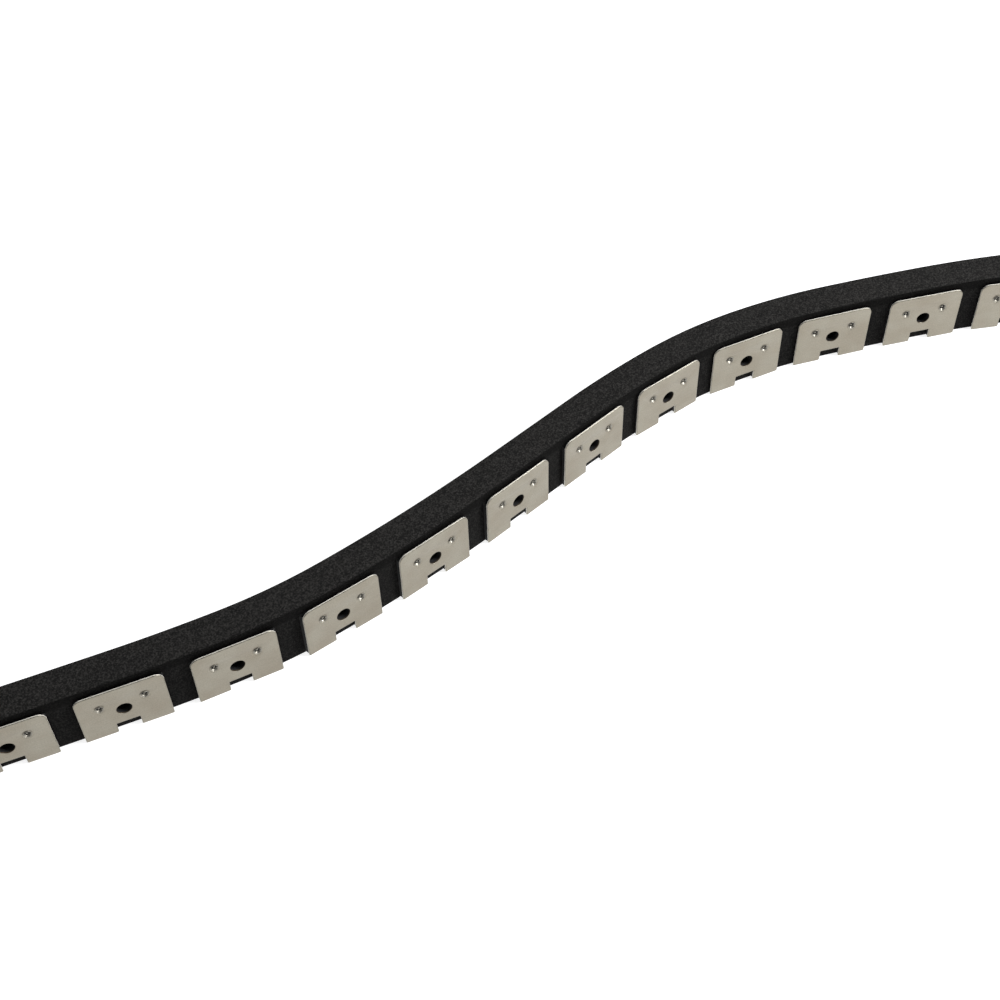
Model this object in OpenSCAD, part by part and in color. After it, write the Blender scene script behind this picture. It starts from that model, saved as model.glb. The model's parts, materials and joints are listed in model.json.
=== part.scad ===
// Flexible rubber track strip with riveted steel clip plates, lying on its long edge in an S-curve.
// Origin: middle of the sixth segment, on the neutral line, at the underside. +X runs along the strip's
// chord, +Y points to its back face, and +Z is up. The plates are on the front, the -Y side.

/* [Strip] */
// Distance between two bending lines, which is also the pitch of the plates
pitch = 25.4; // [22:0.1:30]
// Thickness of the rubber from its front face to its back face
rubber_depth = 8.1; // [7:0.1:10]
// Height of the rubber
rubber_height = 17.3; // [16.6:0.1:20]
// Radius of the two top edges
top_edge_r = 0.4; // [0.2:0.1:1.2]
// Radius of the two bottom edges
bottom_edge_r = 0.3; // [0.2:0.1:1.2]
// How far the lip along the top stands out of the front face
lip_out = 0.3; // [0.1:0.05:0.5]
// Height of the lip, down from the top
lip_height = 2.8; // [2:0.1:3.2]

/* [Bends] */
// Heading of the sixth segment, in degrees from +X towards +Y
heading_mid = 41.3; // [30:0.1:50]
// Bend at each of the eleven bending lines, in degrees, from the left end to the right end
bends = [0.5, 3.5, 10, 3.5, 3, 0, -6, -12, -9, -2, -5];
// Clearance between one segment's round end and the next one's socket
socket_gap = 0.3; // [0.2:0.05:0.5]

/* [Clip plates] */
// Width of a plate, along the strip
plate_width = 19.8; // [18:0.1:21]
// Height of a plate
plate_height = 15.4; // [15:0.1:16]
// Thickness of the sheet
plate_thickness = 0.4; // [0.3:0.05:0.8]
// Height of a plate's lower edge above the underside of the rubber
plate_lift = 0.2; // [0.1:0.1:0.9]
// Radius of a plate's two top corners
plate_top_r = 2; // [1:0.1:3]
// Radius of a plate's two bottom corners
plate_bottom_r = 0.3; // [0.1:0.1:0.8]
// Diameter of the screw hole
screw_d = 3.5; // [3:0.1:4]
// Height of the screw hole above the plate's lower edge
screw_height = 7.75; // [7:0.05:8.5]
// Width of the notch in the lower edge
notch_width = 5.3; // [4:0.1:6.5]
// Height of the notch
notch_height = 3.1; // [2:0.1:3.6]

/* [Backing pads] */
// Thickness of the pad between a plate and the rubber
pad_thickness = 0.9; // [0.5:0.1:1.2]
// How far the pad's sides and lower edge stay inside the plate's
pad_inset = 0.1; // [0.1:0.1:1]

/* [Rivets] */
// Distance between a plate's two rivets
rivet_spacing = 10; // [9:0.1:12]
// Height of the rivets above the plate's lower edge
rivet_height = 10.25; // [9.5:0.05:11]
// Diameter of a rivet's shank
shank_d = 1.4; // [1.2:0.1:1.5]
// Outer diameter of the countersunk head, at the plate's face
head_d = 2.1; // [1.9:0.1:2.6]
// Depth of the cup in the head
cup_depth = 0.6; // [0.4:0.05:0.7]
// Diameter of the tail flange that is moulded into the rubber
tail_d = 2.4; // [2:0.1:3]
// Depth of the tail flange's far side behind the rubber's front face
tail_depth = 3; // [2:0.1:4]

/* [Hidden] */
$fn = 48;
eps = 0.5;                      // overshoot of a cutting tool past a face
segments = len(bends) + 1;
root = 6;                       // the segment at the origin
front = -rubber_depth / 2;      // local y of the rubber's front face
plate_back = front - pad_thickness;
plate_front = plate_back - plate_thickness;
lip_bottom = rubber_height - lip_height;
pad_top_gap = 0.2;              // the pad stops this far under the lip
lip_clear_round = 0.6;          // the lip stops this far before a bending line at the round end
lip_clear_socket = 1.6;         // and this far after it at the socket end
tail_thickness = 0.5;
head_depth = 0.8;               // the head's cone ends this far behind the plate's face
cup_wall = 0.12;                // thickness of the head around its cup, at the plate's face
cup_bottom_d = 0.7;

PARTS = ["rubber", "clip_plate", "backing_pad", "rivets"];
function two_digits(k) = str(k < 10 ? "0" : "", k);

// Heading of segment k, and the place of its middle on the neutral line
function sum(list, from, to) = from > to ? 0 : list[from - 1] + sum(list, from + 1, to);
function heading(k) = k >= root ? heading_mid + sum(bends, root, k - 1) : heading_mid - sum(bends, k, root - 1);
function along(angle) = [cos(angle), sin(angle), 0];
function half_steps(a, b) = pitch / 2 * (along(heading(a)) + along(heading(b)));
function centre(k) =
    k == root ? [0, 0, 0] :
    k > root ? centre(k - 1) + half_steps(k - 1, k) :
    centre(k + 1) - half_steps(k, k + 1);

module place(k) {
    translate(centre(k)) rotate([0, 0, heading(k)]) children();
}

// A panel standing on its lower edge: width w about the middle, height h, round corners
module round_panel(w, h, r_top, r_bottom) {
    translate([-w / 2, r_bottom]) square([w, h - r_top - r_bottom]);
    translate([-w / 2 + r_top, h - r_top]) square([w - 2 * r_top, r_top]);
    translate([-w / 2 + r_bottom, 0]) square([w - 2 * r_bottom, r_bottom]);
    for (side = [-1, 1]) {
        translate([side * (w / 2 - r_top), h - r_top]) circle(r = r_top);
        translate([side * (w / 2 - r_bottom), r_bottom]) circle(r = r_bottom);
    }
}

// Turns an outline drawn in X and Z into a slab whose front is at local y = y0
module slab(y0, thickness) {
    translate([0, y0 + thickness, 0]) rotate([90, 0, 0]) linear_extrude(thickness) children();
}

// Turns a cross-section drawn in Y and Z into a bar from x0 to x1
module bar(x0, x1) {
    translate([x0, 0, 0]) rotate([90, 0, 90]) linear_extrude(x1 - x0) children();
}

// A round rod along local y from y0 towards the back
module rod(d, y0, length) {
    translate([0, y0, 0]) rotate([-90, 0, 0]) cylinder(d = d, h = length);
}

// A round cone along local y from y0 towards the back
module cone(d_front, d_back, y0, length) {
    translate([0, y0, 0]) rotate([-90, 0, 0]) cylinder(d1 = d_front, d2 = d_back, h = length);
}

module at_rivets() {
    for (side = [-1, 1])
        translate([side * rivet_spacing / 2, 0, plate_lift + rivet_height]) children();
}

module at_screw() {
    translate([0, 0, plate_lift + screw_height]) children();
}

// Head, shank and tail flange: the solid rivet, and the hole that it fills
module rivet_body() {
    shank_from = plate_front + head_depth / 2;
    cone(head_d, shank_d, plate_front, head_depth);
    rod(shank_d, shank_from, front + tail_depth - shank_from);
    rod(tail_d, front + tail_depth - tail_thickness, tail_thickness);
}

module rivet_hole() {
    rod(head_d, plate_front - eps, eps);
    rivet_body();
}

// The main bar, with a round end on the right and a socket on the left
module rubber_bar(k) {
    first = k == 1;
    last = k == segments;
    bar_start = first ? -pitch / 2 : -pitch / 2 + lip_clear_socket;
    bar_end = last ? pitch / 2 : pitch / 2 + rubber_depth / 2;
    difference() {
        intersection() {
            bar(bar_start, bar_end) round_panel(rubber_depth, rubber_height, top_edge_r, bottom_edge_r);
            union() {
                translate([-pitch, -rubber_depth, -eps])
                    cube([pitch * 1.5, 2 * rubber_depth, rubber_height + 2 * eps]);
                translate([pitch / 2, 0, -eps]) cylinder(d = rubber_depth, h = rubber_height + 2 * eps);
            }
        }
        socket(first);
    }
}

module socket(first) {
    if (!first)
        translate([-pitch / 2, 0, -eps])
            cylinder(r = rubber_depth / 2 + socket_gap, h = rubber_height + 2 * eps);
}

// The lip along the top of the front face
module rubber_lip(k) {
    lip_start = k == 1 ? -pitch / 2 : -pitch / 2 + lip_clear_socket;
    lip_end = k == segments ? pitch / 2 : pitch / 2 - lip_clear_round;
    lip_depth = 2 * (lip_out + top_edge_r);
    difference() {
        bar(lip_start, lip_end)
            translate([front - lip_out + lip_depth / 2, lip_bottom])
                round_panel(lip_depth, lip_height, top_edge_r, lip_out);
        socket(k == 1);
    }
}

module rubber(k) {
    color("#26272a") place(k) difference() {
        union() {
            rubber_bar(k);
            rubber_lip(k);
        }
        at_screw() rod(screw_d, front - eps, rubber_depth + 2 * eps);
        at_rivets() rivet_body();
    }
}

module clip_plate(k) {
    color("#c9c4b8") place(k) difference() {
        translate([0, 0, plate_lift]) slab(plate_front, plate_thickness) difference() {
            round_panel(plate_width, plate_height, plate_top_r, plate_bottom_r);
            translate([-notch_width / 2, -eps]) square([notch_width, notch_height + eps]);
        }
        at_screw() rod(screw_d, plate_front - eps, plate_thickness + 2 * eps);
        at_rivets() rivet_hole();
    }
}

module backing_pad(k) {
    pad_width = plate_width - 2 * pad_inset;
    pad_bottom = plate_lift + pad_inset;
    pad_height = lip_bottom - pad_top_gap - pad_bottom;
    pad_notch = notch_width + 2 * pad_inset;
    color("#17181a") place(k) difference() {
        translate([0, 0, pad_bottom]) slab(plate_back, pad_thickness) difference() {
            round_panel(pad_width, pad_height, plate_bottom_r, plate_bottom_r);
            translate([-pad_notch / 2, -eps]) square([pad_notch, notch_height + eps]);
        }
        at_screw() rod(screw_d, plate_back - eps, pad_thickness + 2 * eps);
        at_rivets() rivet_body();
    }
}

// The countersunk head has a cup formed in it, and is flush with the plate's face
module rivet() {
    difference() {
        rivet_body();
        rod(head_d - 2 * cup_wall, plate_front - eps, eps);
        cone(head_d - 2 * cup_wall, cup_bottom_d, plate_front, cup_depth);
    }
}

module rivets(k) {
    color("#b8b2a6") place(k) at_rivets() rivet();
}

for (k = [1:segments]) {
    rubber(k);
    clip_plate(k);
    backing_pad(k);
    rivets(k);
}
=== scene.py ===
import json
import math

import bmesh
import bpy
import numpy as np
from mathutils import Matrix, Vector, geometry

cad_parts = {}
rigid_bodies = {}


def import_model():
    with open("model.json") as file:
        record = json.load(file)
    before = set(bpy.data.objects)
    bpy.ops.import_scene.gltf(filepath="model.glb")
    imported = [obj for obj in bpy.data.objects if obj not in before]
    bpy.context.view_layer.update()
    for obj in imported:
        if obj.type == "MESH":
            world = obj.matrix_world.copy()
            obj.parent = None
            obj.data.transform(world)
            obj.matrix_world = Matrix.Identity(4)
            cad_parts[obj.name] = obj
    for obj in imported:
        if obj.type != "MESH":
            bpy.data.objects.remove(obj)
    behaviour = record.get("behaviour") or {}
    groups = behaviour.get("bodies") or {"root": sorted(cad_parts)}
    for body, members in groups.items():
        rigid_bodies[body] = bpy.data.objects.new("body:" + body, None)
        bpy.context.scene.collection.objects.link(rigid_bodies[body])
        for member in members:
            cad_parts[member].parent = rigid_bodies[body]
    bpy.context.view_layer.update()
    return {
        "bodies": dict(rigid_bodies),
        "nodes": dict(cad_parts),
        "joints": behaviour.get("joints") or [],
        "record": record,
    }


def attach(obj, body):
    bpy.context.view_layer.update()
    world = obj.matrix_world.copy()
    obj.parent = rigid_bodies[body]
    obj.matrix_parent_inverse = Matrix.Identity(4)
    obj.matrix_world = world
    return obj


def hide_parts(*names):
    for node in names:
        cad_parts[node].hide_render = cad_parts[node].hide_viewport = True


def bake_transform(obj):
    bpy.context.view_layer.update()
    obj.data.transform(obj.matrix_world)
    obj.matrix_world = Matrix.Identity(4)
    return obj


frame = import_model()

# A strip of black rubber standing on its long edge in an S-curve, with a riveted steel clip plate on
# each of its twelve segments. All lengths are in metres. A segment's own axes are x along the strip,
# y from the plates' side to the plain back, and z up.

MM = 0.001
UP = Vector((0, 0, 1))
ROOT = 5                        # the segment whose middle is the origin, counted from 0 at the left
ROUND_STEPS = 40                # straight steps around a hole, and around a rivet
RIVET_STEPS = 32
SHARP_ANGLE = math.radians(40)  # edges that turn by more than this stay sharp in the shading

# Rubber
TOP_EDGE_R = 0.4 * MM
BOTTOM_EDGE_R = 0.3 * MM
LIP_HEIGHT = 2.8 * MM
LIP_EDGE_R = 0.2 * MM
LIP_GROOVE = 0.12 * MM          # how far the lip's underside is let into the front face
CORE_HALF = 6.0 * MM            # the rubber that two rivets hold flat, each side of a segment's middle
CUT_BEVEL = 0.15 * MM

# Screw holes through the rubber
HOLE_STEPS = 8                  # steps along each side of the square of faces around a hole
HOLE_HALF = 2.8 * MM            # half the side of that square
HOLE_RIM = 0.12 * MM            # bevel at the hole's mouth

# Backing pads
PAD_BEVEL = 0.1 * MM
PAD_SUNK = 0.05 * MM            # how far the pad's back goes into the rubber

# Clip plates
PLATE_TOP_R = 2.0 * MM
PLATE_LOW_R = 0.3 * MM
NOTCH_WIDTH = 5.3 * MM
NOTCH_HEIGHT = 3.1 * MM
NOTCH_INNER_R = 0.15 * MM
EDGE_ROLL = 0.13 * MM           # depth of the rounding that the shears leave along a plate's front edges
HOLE_ROLL = 0.07 * MM           # and around its screw hole
BACK_BEVEL = 0.04 * MM

# Rivets
RIVET_SPACING = 10.0 * MM
RIVET_UP = 10.25 * MM           # above a plate's lower edge
SHANK_R = 0.7 * MM
HEAD_R = 1.05 * MM
HEAD_DEPTH = 0.8 * MM
RIM_OUT = 0.03 * MM             # how far the head's rim stands out of the plate
RIM_WIDTH = 0.07 * MM
RIM_EDGE = 0.02 * MM            # width of the small slopes on both sides of the rim
CUP_DEPTH = 0.55 * MM
CUP_BOTTOM_R = 0.42 * MM
NUB_HEIGHT = 0.28 * MM          # of the small point that the setting tool leaves in the cup
TAIL_R = 1.2 * MM
TAIL_THICKNESS = 0.5 * MM
TAIL_BEVEL = 0.1 * MM
DISH_R = 1.5 * MM               # the ring that the rivet's setting tool leaves in the plate
DISH_DEPTH = 0.09 * MM
DISH_SLOPE = 0.21 * MM          # width of the slope down into that ring

# Camera
CAMERA_ELEVATION = math.radians(50.03)
CAMERA_ROLL = math.radians(-1.837)
CAMERA_DISTANCE = 390.24 * MM
CAMERA_TARGET = Vector((-0.90, 2.35, 0.8)) * MM
SENSOR_WIDTH = 36.0             # the sensor and the lens are in millimetres
LENS = 57.68

# Surroundings
FLOOR_HALF = 3.0
FLOOR_DROP = 0.05 * MM          # how far the floor lies under the strip, so that they don't coincide
WORLD_STRENGTH = 0.8
HORIZON = 1.0                   # greys of the sky, from the horizon up
WALL_TOP = (0.08, 0.85)         # as height, from 0 at the horizon to 1 overhead, and grey
SHADE = (0.13, 0.05)
CEILING = 0.30


def number(k):
    """Segment k's number in the names of bodies, nodes and mounts, which count from 01."""
    return f"{k + 1:02d}"


class Segment:
    """One segment's middle on the neutral line, and its own axes, from its screw hole's mount.
    mount_depth is how far the mount lies from the neutral line."""

    def __init__(self, mount, mount_depth):
        out = Vector(mount["axis"])
        self.back = -out
        self.along = self.back.cross(UP)
        middle = Vector(mount["pos_m"]) - out * mount_depth
        self.middle = Vector((middle.x, middle.y, 0))

    def place(self, x, y, z):
        """The point at a place along the segment's own axes."""
        return self.middle + self.along * x + self.back * y + UP * z

    def local(self, point):
        """The place of a point along the segment's own axes."""
        away = point - self.middle
        return Vector((away.dot(self.along), away.dot(self.back), point.z))

    def local_box(self, node):
        """Lowest and highest corner of a CAD node along the segment's own axes."""
        places = np.array([self.local(v.co) for v in frame["nodes"][node].data.vertices])
        return Vector(places.min(0)), Vector(places.max(0))


MOUNTS = {m["name"]: m for m in frame["record"]["mounts"]}
HINGES = {j["name"]: Vector(j["pos_m"]) for j in frame["joints"]}
PITCH = (HINGES[f"bend_{number(ROOT)}"] - HINGES[f"bend_{number(ROOT - 1)}"]).length
SCREW = MOUNTS[f"screw_hole_{number(ROOT)}"]
SCREW_R = SCREW["dims"]["r_mm"] * MM
SCREW_Z = SCREW["pos_m"][2]
MOUNT_DEPTH = Vector(SCREW["pos_m"]).dot(Vector(SCREW["axis"]))

COUNT = len(frame["bodies"])
LAST = COUNT - 1
SEGMENTS = [Segment(MOUNTS[f"screw_hole_{number(k)}"], MOUNT_DEPTH) for k in range(COUNT)]


def root_box(kind):
    """Lowest and highest corner of one of the root segment's nodes."""
    return SEGMENTS[ROOT].local_box(f"{kind}_{number(ROOT)}")


RUBBER_LOW, RUBBER_HIGH = root_box("rubber")
PLATE_LOW, PLATE_HIGH = root_box("clip_plate")
PAD_LOW, PAD_HIGH = root_box("backing_pad")
RIVET_TAIL = root_box("rivets")[1].y    # the far side of a rivet's tail, in the rubber
BACK = RUBBER_HIGH.y
FRONT = -BACK                   # the front face below the lip
LIP_FRONT = RUBBER_LOW.y
TOP = RUBBER_HIGH.z
RIVET_Z = PLATE_LOW.z + RIVET_UP


# ---------------------------------------------------------------- the strip's own curve

def centreline(s):
    """Point and direction of the neutral line, s pitches after the first segment's middle: a cubic
    curve between two middles, and straight past the two ends."""
    if s <= 0 or s >= LAST:
        nearest = 0 if s <= 0 else LAST
        end = SEGMENTS[nearest]
        return end.middle + end.along * (s - nearest) * PITCH, end.along
    i = min(int(s), LAST - 1)
    t = s - i
    a, b = SEGMENTS[i], SEGMENTS[i + 1]
    point = (a.middle * (2 * t**3 - 3 * t**2 + 1) + b.middle * (3 * t**2 - 2 * t**3)
             + a.along * PITCH * (t**3 - 2 * t**2 + t) + b.along * PITCH * (t**3 - t**2))
    slope = ((a.middle - b.middle) * (6 * t**2 - 6 * t)
             + a.along * PITCH * (3 * t**2 - 4 * t + 1) + b.along * PITCH * (3 * t**2 - 2 * t))
    return point, slope.normalized()


def wrap(k, x, y, z):
    """A point of the flexible strip: x from segment k's middle along the curve, y and z in its section."""
    point, along = centreline(k + x / PITCH)
    back = Vector((-along.y, along.x, 0))
    return point + back * y + UP * z


def along_curve(k):
    """Takes places in the unrolled strip to segment k's stretch of the curve."""
    return lambda s, y, z: wrap(k, s - k * PITCH, y, z)


def along_segment(k):
    """Takes places in the unrolled strip to segment k's own straight frame."""
    return lambda s, y, z: SEGMENTS[k].place(s - k * PITCH, y, z)


# ---------------------------------------------------------------- mesh building

class Shell:
    """Collects points and faces of one piece. Each point keeps its place in the unrolled strip,
    which the grain of the materials follows."""

    def __init__(self):
        self.points = []
        self.grain = []
        self.faces = []
        self.skins = []

    def add(self, point, grain):
        self.points.append(point)
        self.grain.append(grain)
        return len(self.points) - 1

    def loop(self, places, put):
        """Adds a loop of points. put turns a place into a point, and the place is kept as grain."""
        return [self.add(put(*place), place) for place in places]

    def face(self, corners, skin=0):
        """One face. skin is its place in the piece's list of materials."""
        self.faces.append(tuple(corners))
        self.skins.append(skin)

    def strip(self, a, b, skin=0):
        """Quads between two loops of as many points."""
        for i in range(len(a)):
            j = (i + 1) % len(a)
            self.face((a[i], a[j], b[j], b[i]), skin)

    def loft(self, loops, skin=0):
        """Quads from each loop to the next."""
        for a, b in zip(loops, loops[1:]):
            self.strip(a, b, skin)

    def tube(self, loops):
        """A loft that is closed at both ends."""
        self.loft(loops)
        self.face(loops[0])
        self.face(loops[-1])

    def fill(self, outer, holes):
        """Closes an outer loop, leaving the holes open."""
        loops = [outer, *holes]
        corners = [corner for loop in loops for corner in loop]
        outlines = [[Vector(self.grain[corner]) for corner in loop] for loop in loops]
        for triangle in geometry.tessellate_polygon(outlines):
            self.face([corners[i] for i in triangle])

    def build(self, name, materials):
        """The finished piece, smooth but for its sharp edges."""
        mesh = bpy.data.meshes.new(name)
        mesh.from_pydata([tuple(p) for p in self.points], [], self.faces)
        for material in materials:
            mesh.materials.append(material)
        mesh.polygons.foreach_set("material_index", self.skins)
        grain = mesh.attributes.new("grain", "FLOAT_VECTOR", "POINT")
        grain.data.foreach_set("vector", np.array(self.grain, np.float32).ravel())
        face_out(mesh)
        mesh.shade_smooth()
        mesh.set_sharp_from_angle(angle=SHARP_ANGLE)
        piece = bpy.data.objects.new(name, mesh)
        bpy.context.scene.collection.objects.link(piece)
        return piece


def face_out(mesh):
    """Turns every face's front outwards."""
    work = bmesh.new()
    work.from_mesh(mesh)
    bmesh.ops.recalc_face_normals(work, faces=work.faces)
    work.to_mesh(mesh)
    work.free()


def arc(cx, cz, r, start, end, steps):
    """Points of an arc in a plane, with angles in degrees."""
    angles = [math.radians(start + (end - start) * i / steps) for i in range(steps + 1)]
    return [(cx + r * math.cos(a), cz + r * math.sin(a)) for a in angles]


def spread(a, b, steps):
    """Numbers from a to b in equal steps, both ends included."""
    return [a + (b - a) * i / steps for i in range(steps + 1)]


# ---------------------------------------------------------------- rubber

HOLE_ROWS = spread(SCREW_Z - HOLE_HALF, SCREW_Z + HOLE_HALF, HOLE_STEPS)
HOLE_COLUMNS = spread(-HOLE_HALF, HOLE_HALF, HOLE_STEPS)


def rubber_section():
    """The strip's closed section as (y, z), and where the hole's rows start on the front and the back."""
    lip_low = TOP - LIP_HEIGHT
    low = spread(BOTTOM_EDGE_R, HOLE_ROWS[0], 3)[:-1]
    high = spread(HOLE_ROWS[-1], lip_low - LIP_GROOVE, 2)[1:]
    front_corner = arc(FRONT + BOTTOM_EDGE_R, BOTTOM_EDGE_R, BOTTOM_EDGE_R, 270, 180, 4)[:-1]
    front = [(FRONT, z) for z in low + HOLE_ROWS + high]
    under_lip = [(FRONT + LIP_GROOVE, lip_low)]
    lip_edge = arc(LIP_FRONT + LIP_EDGE_R, lip_low + LIP_EDGE_R, LIP_EDGE_R, 250, 180, 3)
    top_front = arc(LIP_FRONT + TOP_EDGE_R, TOP - TOP_EDGE_R, TOP_EDGE_R, 180, 90, 5)
    top = [(y, TOP) for y in spread(LIP_FRONT + TOP_EDGE_R, BACK - TOP_EDGE_R, 4)[1:-1]]
    top_back = arc(BACK - TOP_EDGE_R, TOP - TOP_EDGE_R, TOP_EDGE_R, 90, 0, 5)
    back_high = spread(top_back[-1][1], HOLE_ROWS[-1], 3)[1:-1]
    back = [(BACK, z) for z in back_high + HOLE_ROWS[::-1] + low[::-1]]
    back_corner = arc(BACK - BOTTOM_EDGE_R, BOTTOM_EDGE_R, BOTTOM_EDGE_R, 0, -90, 4)[1:]
    start = front_corner + front + under_lip + lip_edge + top_front + top + top_back
    front_row = len(front_corner) + len(low)
    back_row = len(start) + len(back_high)
    return start + back + back_corner, front_row, back_row


SECTION, FRONT_ROW, BACK_ROW = rubber_section()


def inset_section(by):
    """The section with each point moved inwards, for the small bevel at a cut end."""
    moved = []
    for i, (y, z) in enumerate(SECTION):
        before, after = SECTION[i - 1], SECTION[(i + 1) % len(SECTION)]
        run = Vector((after[0] - before[0], after[1] - before[1])).normalized()
        moved.append((y + run.y * by, z - run.x * by))
    return moved


def rubber_ring(shell, k, x, section=SECTION):
    """A loop around the strip, x along from segment k's middle."""
    return shell.loop([(k * PITCH + x, y, z) for y, z in section], along_curve(k))


def border_of_square(n):
    """Column and row of each point around a square of n by n steps, in order."""
    return ([(i, 0) for i in range(n)] + [(n, j) for j in range(n)]
            + [(n - i, n) for i in range(n)] + [(0, n - j) for j in range(n)])


def rubber_core(k):
    """The stiff length behind a plate, with the screw hole through it. The strip's two end pieces
    run on to the cut."""
    shell = Shell()
    beside_hole = spread(-CORE_HALF, -HOLE_HALF, 3)[:-1]
    first, last = k == 0, k == LAST
    run_out = spread(-PITCH / 2 + CUT_BEVEL, -CORE_HALF, 6)[:-1]
    left = (run_out if first else []) + beside_hole
    right = [-x for x in ((run_out if last else []) + beside_hole)[::-1]]
    rings = [rubber_ring(shell, k, x) for x in left + HOLE_COLUMNS + right]
    column = len(left)
    for i, (a, b) in enumerate(zip(rings, rings[1:])):
        in_columns = column <= i < column + HOLE_STEPS
        for j in range(len(SECTION)):
            in_front = FRONT_ROW <= j < FRONT_ROW + HOLE_STEPS
            in_back = BACK_ROW <= j < BACK_ROW + HOLE_STEPS
            if not (in_columns and (in_front or in_back)):
                after = (j + 1) % len(SECTION)
                shell.face((a[j], a[after], b[after], b[j]))
    screw_tunnel(shell, k, rings, column)
    for end, cut in ((0, first), (-1, last)):
        close_rubber(shell, k, rings[end], cut, -1 if end == 0 else 1)
    return shell


def screw_tunnel(shell, k, rings, column):
    """Joins the square gaps in the front and back faces to a round hole between them."""
    def angle_of(corner):
        s, _, z = shell.grain[corner]
        return math.atan2(z - SCREW_Z, s - k * PITCH)

    border = border_of_square(HOLE_STEPS)
    rims = []
    for row, y, inwards in ((FRONT_ROW, FRONT, 1), (BACK_ROW, BACK, -1)):
        square = [rings[column + i][row + j] for i, j in border]
        rounds = [square]
        for radius, depth in ((SCREW_R + HOLE_RIM, 0), (SCREW_R, HOLE_RIM)):
            places = []
            for corner in square:
                a = angle_of(corner)
                places.append((k * PITCH + radius * math.cos(a), y + inwards * depth,
                               SCREW_Z + radius * math.sin(a)))
            rounds.append(shell.loop(places, along_curve(k)))
        shell.loft(rounds)
        rims.append(rounds[-1])
    front, back = rims
    back_at = {round(angle_of(corner), 4): corner for corner in back}
    shell.strip(front, [back_at[round(angle_of(corner), 4)] for corner in front])


def close_rubber(shell, k, ring, cut, direction):
    """Caps one end. A cut end gets a small bevel and the cut material."""
    if not cut:
        shell.face(ring)
        return
    outer = rubber_ring(shell, k, direction * PITCH / 2, inset_section(CUT_BEVEL))
    shell.strip(ring, outer)
    shell.face(outer, skin=1)


def rubber_bend(k):
    """The flexible length between two stiff ones."""
    shell = Shell()
    shell.tube([rubber_ring(shell, k, x) for x in spread(CORE_HALF, PITCH - CORE_HALF, 16)])
    return shell


# ---------------------------------------------------------------- plates and pads

def panel_outline(width, low, high, r_top, r_low, notch_width, inset):
    """A panel's outline as (x, z), with the notch in its lower edge, moved inwards by inset."""
    side = width / 2
    notch = notch_width / 2
    inner_z = PLATE_LOW.z + NOTCH_HEIGHT - NOTCH_INNER_R
    return (arc(side - r_low, low + r_low, r_low - inset, -90, 0, 4)
            + arc(side - r_top, high - r_top, r_top - inset, 0, 90, 10)
            + arc(r_top - side, high - r_top, r_top - inset, 90, 180, 10)
            + arc(r_low - side, low + r_low, r_low - inset, 180, 270, 4)
            + arc(-notch - r_low, low + r_low, r_low - inset, -90, 0, 4)
            + arc(-notch + NOTCH_INNER_R, inner_z, NOTCH_INNER_R + inset, 180, 90, 5)
            + arc(notch - NOTCH_INNER_R, inner_z, NOTCH_INNER_R + inset, 90, 0, 5)
            + arc(notch + r_low, low + r_low, r_low - inset, 180, 270, 4))


def ring_outline(cx, cz, r, steps=ROUND_STEPS):
    """A circle as (x, z). The arc's last point is left out, because it is the first one again."""
    return arc(cx, cz, r, 0, 360, steps)[:-1]


def flat_loop(shell, k, outline, y):
    """A loop in segment k's own straight frame."""
    return shell.loop([(k * PITCH + x, y, z) for x, z in outline], along_segment(k))


def wrapped_loop(shell, k, outline, y):
    """A loop that lies along the curved strip."""
    return shell.loop([(k * PITCH + x, y, z) for x, z in outline], along_curve(k))


def edge_loops(shell, k, outline_at, roll, front):
    """Loops over a rolled edge, from the flat front face to the wall. The roll is twice as wide as
    it is deep."""
    loops = []
    for a in spread(0, math.pi / 2, 6):
        across = 2 * roll * (1 - math.sin(a))
        loops.append(flat_loop(shell, k, outline_at(across), front + roll * (1 - math.cos(a))))
    return loops


def rivet_dish():
    """Half section as (radius, depth) of the ring pressed into the plate around a rivet's head."""
    slope = [(DISH_R - DISH_SLOPE * across, DISH_DEPTH * down)
             for across, down in ((0, 0), (1 / 3, 0.3), (2 / 3, 0.85), (1, 1))]
    return slope + [(HEAD_R, DISH_DEPTH)]


def clip_plate(k):
    """Sheet steel with sheared edges: its front edges are rolled over, and its back edges only have
    a fine bevel. The skins are the faces, the wall, the roll and the screw hole's wall."""
    shell = Shell()
    front, back = PLATE_LOW.y, PLATE_HIGH.y
    width = PLATE_HIGH.x - PLATE_LOW.x
    cone_r = HEAD_R - (HEAD_R - SHANK_R) * (back - front) / HEAD_DEPTH

    def outer(inset):
        return panel_outline(width, PLATE_LOW.z, PLATE_HIGH.z, PLATE_TOP_R, PLATE_LOW_R,
                             NOTCH_WIDTH, inset)

    def screw(inset):
        return ring_outline(0, SCREW_Z, SCREW_R + inset)

    rolled = edge_loops(shell, k, outer, EDGE_ROLL, front)
    shell.loft(rolled, skin=2)
    wall_rear = flat_loop(shell, k, outer(0), back - BACK_BEVEL)
    shell.strip(rolled[-1], wall_rear, skin=1)
    rear = flat_loop(shell, k, outer(BACK_BEVEL), back)
    shell.strip(wall_rear, rear)

    hole = edge_loops(shell, k, screw, HOLE_ROLL, front)
    shell.loft(hole)
    hole_rear = flat_loop(shell, k, screw(0), back)
    shell.strip(hole[-1], hole_rear, skin=3)

    front_gaps, rear_gaps = [hole[0]], [hole_rear]
    for side in (-1, 1):
        x = side * RIVET_SPACING / 2
        dish = [flat_loop(shell, k, ring_outline(x, RIVET_Z, r), front + depth)
                for r, depth in rivet_dish()]
        shell.loft(dish)
        under = flat_loop(shell, k, ring_outline(x, RIVET_Z, cone_r), back)
        shell.strip(dish[-1], under)
        front_gaps.append(dish[0])
        rear_gaps.append(under)
    shell.fill(rolled[0], front_gaps)
    shell.fill(rear, rear_gaps)
    return shell


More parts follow.
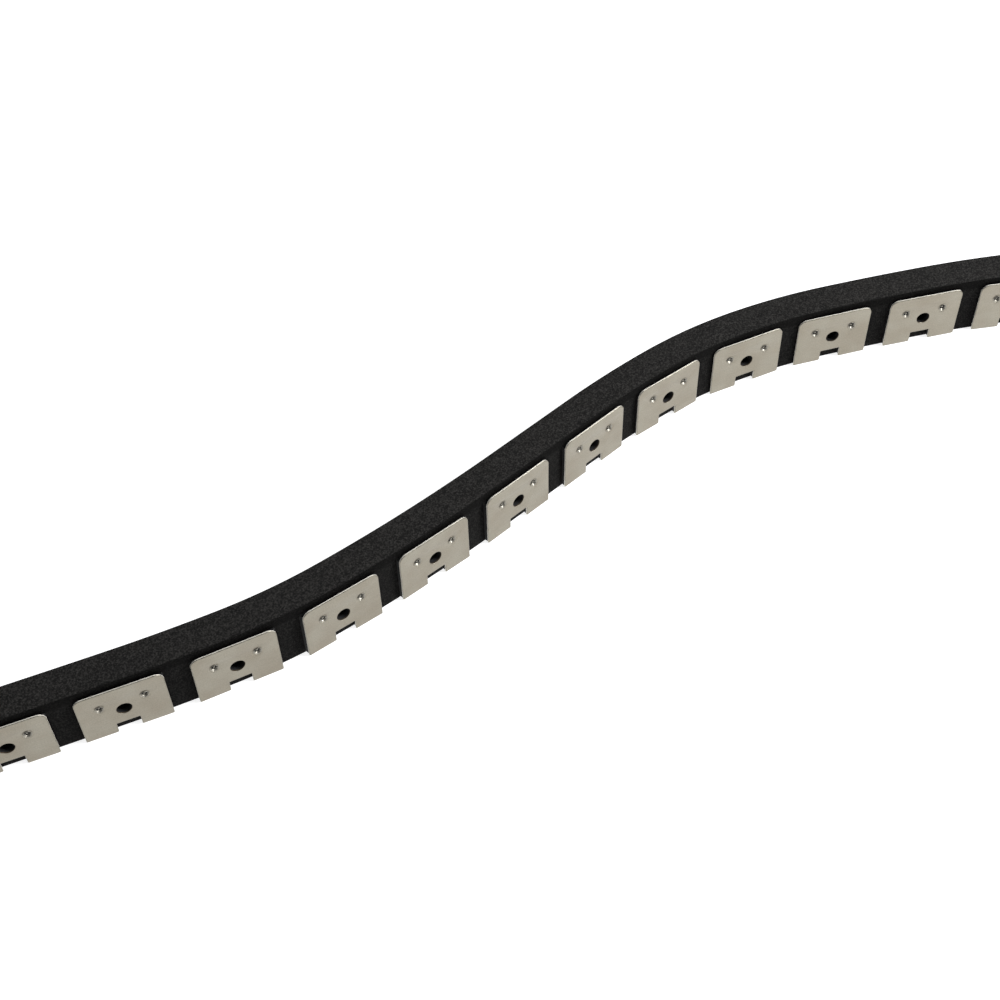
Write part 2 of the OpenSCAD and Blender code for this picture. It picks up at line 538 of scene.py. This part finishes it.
def backing_pad(k):
    """The dark rubber between a plate and the strip: flat in front, and along the strip's curve behind."""
    shell = Shell()
    front = PAD_LOW.y
    inset = PAD_LOW.x - PLATE_LOW.x
    width = PAD_HIGH.x - PAD_LOW.x

    def outer(inset_by):
        return panel_outline(width, PAD_LOW.z, PAD_HIGH.z, PLATE_LOW_R, PLATE_LOW_R,
                             NOTCH_WIDTH + 2 * inset, inset_by)

    def loops(outline):
        return [flat_loop(shell, k, outline(PAD_BEVEL), front),
                flat_loop(shell, k, outline(0), front + PAD_BEVEL),
                wrapped_loop(shell, k, outline(0), FRONT + PAD_SUNK)]

    around = loops(outer)
    through = loops(lambda by: ring_outline(0, SCREW_Z, SCREW_R + by))
    shell.loft(around)
    shell.loft(through)
    shell.fill(around[0], [through[0]])
    shell.fill(around[-1], [through[-1]])
    return shell


# ---------------------------------------------------------------- rivets

def rivet_profile():
    """Half section as (radius, y), from the tail in the rubber, along the shank and the countersunk
    head, over the head's thin rim and down into its cup."""
    face = PLATE_LOW.y
    tail = RIVET_TAIL
    stem = [(TAIL_R - TAIL_BEVEL, tail), (TAIL_R, tail - TAIL_BEVEL), (TAIL_R, tail - TAIL_THICKNESS),
            (SHANK_R, tail - TAIL_THICKNESS), (SHANK_R, face + HEAD_DEPTH), (HEAD_R, face + RIM_OUT)]
    mouth = HEAD_R - RIM_WIDTH
    rim = [(HEAD_R - RIM_EDGE, face - RIM_OUT), (mouth + RIM_EDGE, face - RIM_OUT), (mouth, face)]
    cup = []
    for across in spread(0, 1, 10)[1:]:
        fall = across * across * (3 - 2 * across)
        cup.append((mouth - across * (mouth - CUP_BOTTOM_R), face + fall * CUP_DEPTH))
    bottom = face + CUP_DEPTH
    nub = [(CUP_BOTTOM_R * out, bottom - NUB_HEIGHT * rise)
           for out, rise in ((0.75, 0.35), (0.45, 0.8), (0.12, 1))]
    return stem + rim + cup + nub


def rivets(k):
    """The two rivets of one plate."""
    shell = Shell()
    for side in (-1, 1):
        x = side * RIVET_SPACING / 2
        shell.tube([flat_loop(shell, k, ring_outline(x, RIVET_Z, r, RIVET_STEPS), y)
                    for r, y in rivet_profile()])
    return shell


# ---------------------------------------------------------------- materials

class Nodes:
    """Short names for building one material's nodes."""

    def __init__(self, name):
        self.material = bpy.data.materials.new(name)
        self.material.use_nodes = True
        self.tree = self.material.node_tree
        self.shader = self.tree.nodes["Principled BSDF"]

    def add(self, kind, **values):
        node = self.tree.nodes.new(kind)
        for name, value in values.items():
            setattr(node, name, value)
        return node

    def link(self, source, target):
        self.tree.links.new(source, target)

    def grain(self, scale):
        """Place in the unrolled strip, in metres, scaled along, across and up."""
        place = self.add("ShaderNodeAttribute", attribute_name="grain")
        stretch = self.add("ShaderNodeVectorMath", operation="MULTIPLY")
        stretch.inputs[1].default_value = scale
        self.link(place.outputs["Vector"], stretch.inputs[0])
        return stretch.outputs["Vector"]

    def noise(self, scale, detail=2.0, roughness=0.5):
        """Grey noise in the grain, with scale in cells per metre along, across and up."""
        node = self.add("ShaderNodeTexNoise")
        node.inputs["Scale"].default_value = 1.0
        node.inputs["Detail"].default_value = detail
        node.inputs["Roughness"].default_value = roughness
        self.link(self.grain(scale), node.inputs["Vector"])
        return node.outputs["Fac"]

    def painted_shade_by_height(self):
        """Painted shade by height: full grey on the top face, darkest on the lip, and between on the
        walls.
        """
        walls, lip, top = 0.55, 0.3, 1.0
        up = self.add("ShaderNodeSeparateXYZ")
        self.link(self.grain((0, 0, 1 / TOP)), up.inputs[0])
        lip_low = 1 - LIP_HEIGHT / TOP
        return self.ramp(up.outputs["Z"], (lip_low - 0.01, walls), (lip_low, lip),
                         (0.985, lip), (1.0, top))

    def ramp(self, source, *stops):
        """Colour or grey stops as (place, value)."""
        node = self.add("ShaderNodeValToRGB")
        elements = node.color_ramp.elements
        for i, (place, value) in enumerate(stops):
            element = elements[i] if i < 2 else elements.new(place)
            element.position = place
            element.color = (value, value, value, 1) if isinstance(value, float) else (*value, 1)
        self.link(source, node.inputs["Fac"])
        return node.outputs["Color"]

    def mix(self, fac, a, b, blend="MIX"):
        """Two colours mixed or multiplied. Each of the three can be a value or a socket."""
        node = self.add("ShaderNodeMix", data_type="RGBA", blend_type=blend)
        for socket, value in ((node.inputs[0], fac), (node.inputs[6], a), (node.inputs[7], b)):
            if isinstance(value, bpy.types.NodeSocket):
                self.link(value, socket)
            elif isinstance(value, float):
                socket.default_value = value
            else:
                socket.default_value = (*value, 1)
        return node.outputs[2]

    def bump(self, height, strength, distance, under=None):
        """A bumped normal, on top of another one where under is given."""
        node = self.add("ShaderNodeBump")
        node.inputs["Strength"].default_value = strength
        node.inputs["Distance"].default_value = distance
        self.link(height, node.inputs["Height"])
        if under is not None:
            self.link(under, node.inputs["Normal"])
        return node.outputs["Normal"]

    def set(self, **values):
        """Links or sets the shader's inputs, and returns the finished material."""
        names = {"color": "Base Color", "roughness": "Roughness", "metallic": "Metallic",
                 "normal": "Normal", "specular": "Specular IOR Level", "glow": "Emission Strength"}
        for key, value in values.items():
            socket = self.shader.inputs[names[key]]
            if isinstance(value, bpy.types.NodeSocket):
                self.link(value, socket)
            else:
                socket.default_value = value
        return self.material


def per_mm(along, across, up):
    """A scale for the grain from noise cells per millimetre."""
    return (along / MM, across / MM, up / MM)


def rubber_material():
    """Matte black, with a fine pebbled grain whose raised specks hold grey dust, and painted shade that
    makes the walls and the lip darker than the top face.
    """
    n = Nodes("track_rubber")
    speck = n.noise(per_mm(2.8, 2.8, 2.8), 2.0, 0.6)
    cloud = n.noise(per_mm(0.12, 0.3, 0.3), 3.0)
    base = n.ramp(cloud, (0.3, (0.0085, 0.0085, 0.0085)), (0.7, (0.0115, 0.0113, 0.011)))
    dusty = n.ramp(speck, (0.42, 0.0), (0.72, 1.0))
    color = n.mix(dusty, base, (0.041, 0.0395, 0.038))
    # Painted shade: the walls, and the lip even more, are multiplied darker than the top face.
    color = n.mix(1.0, color, n.painted_shade_by_height(), "MULTIPLY")
    rough = n.ramp(speck, (0.3, 0.62), (0.7, 0.78))
    normal = n.bump(speck, 0.7, 0.05 * MM)
    return n.set(color=color, roughness=rough, normal=normal, specular=0.015)


def cut_rubber_material():
    """The ends, where a blade has gone through: finer, with faint upright drag lines."""
    n = Nodes("cut_rubber")
    drag = n.noise(per_mm(0.2, 3.0, 0.15), 3.0)
    fine = n.noise(per_mm(4.0, 4.0, 4.0), 2.0)
    color = n.ramp(drag, (0.35, (0.010, 0.010, 0.0105)), (0.65, (0.019, 0.019, 0.0195)))
    normal = n.bump(drag, 0.4, 0.05 * MM)
    normal = n.bump(fine, 0.3, 0.02 * MM, normal)
    rough = n.ramp(fine, (0.3, 0.5), (0.7, 0.65))
    return n.set(color=color, roughness=rough, normal=normal, specular=0.1)


def pad_material():
    """Plain black rubber, a little smoother than the strip."""
    n = Nodes("pad_rubber")
    fine = n.noise(per_mm(3.0, 3.0, 3.0), 3.0, 0.6)
    color = n.ramp(fine, (0.3, (0.008, 0.008, 0.009)), (0.7, (0.016, 0.016, 0.016)))
    return n.set(color=color, roughness=n.ramp(fine, (0.3, 0.65), (0.7, 0.8)),
                 normal=n.bump(fine, 0.4, 0.04 * MM), specular=0.3)


def plate_material():
    """Satin sheet: fine rolling grain along the strip, slow cloudiness and a warm tone."""
    n = Nodes("plate_steel")
    rolled = n.noise(per_mm(0.35, 1.0, 5.0), 3.0, 0.6)
    fine = n.noise(per_mm(3.0, 3.0, 4.0), 3.0, 0.6)
    cloud = n.noise(per_mm(0.15, 1.0, 0.15), 2.0)
    base = n.ramp(cloud, (0.3, (0.300, 0.271, 0.218)), (0.7, (0.337, 0.315, 0.261)))
    grained = n.ramp(fine, (0.3, 0.78), (0.7, 1.0))
    color = n.mix(1.0, base, grained, "MULTIPLY")
    rough = n.ramp(rolled, (0.3, 0.36), (0.7, 0.5))
    normal = n.bump(rolled, 0.25, 0.012 * MM)
    normal = n.bump(fine, 0.3, 0.012 * MM, normal)
    return n.set(color=color, roughness=rough, normal=normal, metallic=1.0)


def plate_edge_material():
    """The sheet's sheared wall with torn streaks. Its pale colour is partly the burnished steel and partly
    a painted highlight for the bright line along the plates' top edges.
    """
    n = Nodes("plate_edge_steel")
    torn = n.noise(per_mm(4.0, 1.0, 4.0), 3.0, 0.7)
    # Partly a painted highlight: the pale colour brightens the thin line along the top edges.
    color = n.ramp(torn, (0.3, (0.70, 0.67, 0.59)), (0.7, (0.90, 0.87, 0.80)))
    return n.set(color=color, roughness=n.ramp(torn, (0.3, 0.45), (0.7, 0.6)),
                 normal=n.bump(torn, 0.2, 0.02 * MM), metallic=0.35)


def plate_roll_material():
    """The rounding that the shears leave along the sheet's front edges, coloured darker than the face as a
    painted dark reflection: the thin dark line just inside each edge.
    """
    n = Nodes("plate_roll_steel")
    dull = n.noise(per_mm(2.0, 2.0, 2.0), 2.0, 0.6)
    # Painted reflection: the darker roll stands in for the dark surroundings mirrored just inside each
    # edge.
    color = n.ramp(dull, (0.3, (0.20, 0.185, 0.15)), (0.7, (0.28, 0.262, 0.215)))
    return n.set(color=color, roughness=n.ramp(dull, (0.3, 0.26), (0.7, 0.38)),
                 normal=n.bump(dull, 0.2, 0.02 * MM), metallic=1.0)


def punched_material():
    """The wall of the punched screw hole: dark, with a brown tint. The dark is partly the torn, burred
    wall and partly painted shade inside the hole.
    """
    n = Nodes("punched_steel")
    torn = n.noise(per_mm(4.0, 1.0, 4.0), 3.0, 0.7)
    # Partly painted shade: this wall is far darker than the plate's outer walls.
    color = n.ramp(torn, (0.3, (0.06, 0.045, 0.03)), (0.7, (0.14, 0.11, 0.08)))
    return n.set(color=color, roughness=n.ramp(torn, (0.3, 0.45), (0.7, 0.7)), metallic=0.8)


def rivet_material():
    """Formed steel: finely mottled and satin."""
    n = Nodes("rivet_steel")
    fine = n.noise(per_mm(4.0, 4.0, 4.0), 3.0, 0.6)
    color = n.ramp(fine, (0.3, (0.25, 0.235, 0.20)), (0.7, (0.34, 0.325, 0.285)))
    return n.set(color=color, roughness=n.ramp(fine, (0.3, 0.4), (0.7, 0.52)),
                 normal=n.bump(fine, 0.25, 0.012 * MM), metallic=1.0)


def floor_material():
    """A pale table that gives off some light of its own, which keeps its shadows faint."""
    n = Nodes("pale_table")
    place = n.add("ShaderNodeTexCoord").outputs["Object"]
    noise = n.add("ShaderNodeTexNoise")
    noise.inputs["Scale"].default_value = 6.0
    n.link(place, noise.inputs["Vector"])
    color = n.ramp(noise.outputs["Fac"], (0.3, (0.47, 0.47, 0.47)), (0.7, (0.49, 0.49, 0.49)))
    n.shader.inputs["Emission Color"].default_value = (1, 1, 1, 1)
    return n.set(color=color, roughness=0.6, specular=0.3, glow=0.85)


# ---------------------------------------------------------------- put together

def add_rubber():
    """Stiff lengths that ride on their segments, and the flexible lengths between them, built along the
    strip's curve and not attached to any segment.
    """
    skins = [rubber_material(), cut_rubber_material()]
    for k in range(COUNT):
        piece = rubber_core(k).build(f"rubber_core_{number(k)}", skins)
        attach(piece, f"segment_{number(k)}")
        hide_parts(f"rubber_{number(k)}")
    for k in range(LAST):
        piece = rubber_bend(k).build(f"rubber_bend_{number(k)}", skins[:1])
        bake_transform(piece)
        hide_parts(f"rubber_{number(k)}", f"rubber_{number(k + 1)}")


def add_hardware():
    """The plates, pads and rivets, which ride on their segments."""
    sheet = [plate_material(), plate_edge_material(), plate_roll_material(), punched_material()]
    kinds = [
        ("clip_plate", "plate_steel", clip_plate, sheet),
        ("backing_pad", "pad_rubber", backing_pad, [pad_material()]),
        ("rivets", "rivet_steel", rivets, [rivet_material()]),
    ]
    for k in range(COUNT):
        for kind, slot, make, skins in kinds:
            piece = make(k).build(f"{kind}_{number(k)}_shown", skins)
            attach(piece, f"segment_{number(k)}")
            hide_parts(f"{kind}_{number(k)}")


def add_camera():
    """Looks down at the strip's middle from the plates' side."""
    ahead = Vector((0, math.cos(CAMERA_ELEVATION), -math.sin(CAMERA_ELEVATION)))
    upright = Vector((0, math.sin(CAMERA_ELEVATION), math.cos(CAMERA_ELEVATION)))
    level = Vector((1, 0, 0))
    right = level * math.cos(CAMERA_ROLL) + upright * math.sin(CAMERA_ROLL)
    up = upright * math.cos(CAMERA_ROLL) - level * math.sin(CAMERA_ROLL)
    camera = bpy.data.cameras.new("camera")
    camera.sensor_width = SENSOR_WIDTH
    camera.lens = LENS
    camera.clip_start = 0.01
    holder = bpy.data.objects.new("camera", camera)
    turn = Matrix((right, up, -ahead)).transposed().to_4x4()
    holder.matrix_world = Matrix.Translation(CAMERA_TARGET - ahead * CAMERA_DISTANCE) @ turn
    bpy.context.scene.collection.objects.link(holder)
    bpy.context.scene.camera = holder


def add_softbox(name, place, size, watts):
    """A square light that faces the frame's origin."""
    light = bpy.data.lights.new(name, "AREA")
    light.shape = "SQUARE"
    light.size = size
    light.energy = watts
    holder = bpy.data.objects.new(name, light)
    holder.location = place
    holder.rotation_euler = (-Vector(place)).to_track_quat("-Z", "Y").to_euler()
    bpy.context.scene.collection.objects.link(holder)


def add_world():
    """A pale wall along the horizon, dark above it, and a dim ceiling overhead."""
    world = bpy.data.worlds.new("studio")
    bpy.context.scene.world = world
    world.use_nodes = True
    tree = world.node_tree
    place = tree.nodes.new("ShaderNodeTexCoord")
    split = tree.nodes.new("ShaderNodeSeparateXYZ")
    ramp = tree.nodes.new("ShaderNodeValToRGB")
    steps = ramp.color_ramp.elements
    steps[0].color = (HORIZON, HORIZON, HORIZON, 1)
    steps[1].color = (CEILING, CEILING, CEILING, 1)
    for position, grey in (WALL_TOP, SHADE):
        steps.new(position).color = (grey, grey, grey, 1)
    tree.links.new(place.outputs["Generated"], split.inputs[0])
    tree.links.new(split.outputs["Z"], ramp.inputs["Fac"])
    tree.links.new(ramp.outputs["Color"], tree.nodes["Background"].inputs["Color"])
    tree.nodes["Background"].inputs["Strength"].default_value = WORLD_STRENGTH


def add_floor():
    """A wide square just under the strip."""
    mesh = bpy.data.meshes.new("floor")
    corners = [(x * FLOOR_HALF, y * FLOOR_HALF, -FLOOR_DROP)
               for x, y in ((-1, -1), (1, -1), (1, 1), (-1, 1))]
    mesh.from_pydata(corners, [], [(0, 1, 2, 3)])
    mesh.materials.append(floor_material())
    floor = bpy.data.objects.new("floor", mesh)
    bpy.context.scene.collection.objects.link(floor)


add_camera()
add_world()
add_floor()
add_softbox("key", place=(0.60, -0.03, 0.50), size=0.28, watts=7.5)
add_softbox("back", place=(-0.05, 0.72, 0.82), size=1.0, watts=4.5)
add_rubber()
add_hardware()
bpy.context.scene.view_settings.view_transform = "Standard"
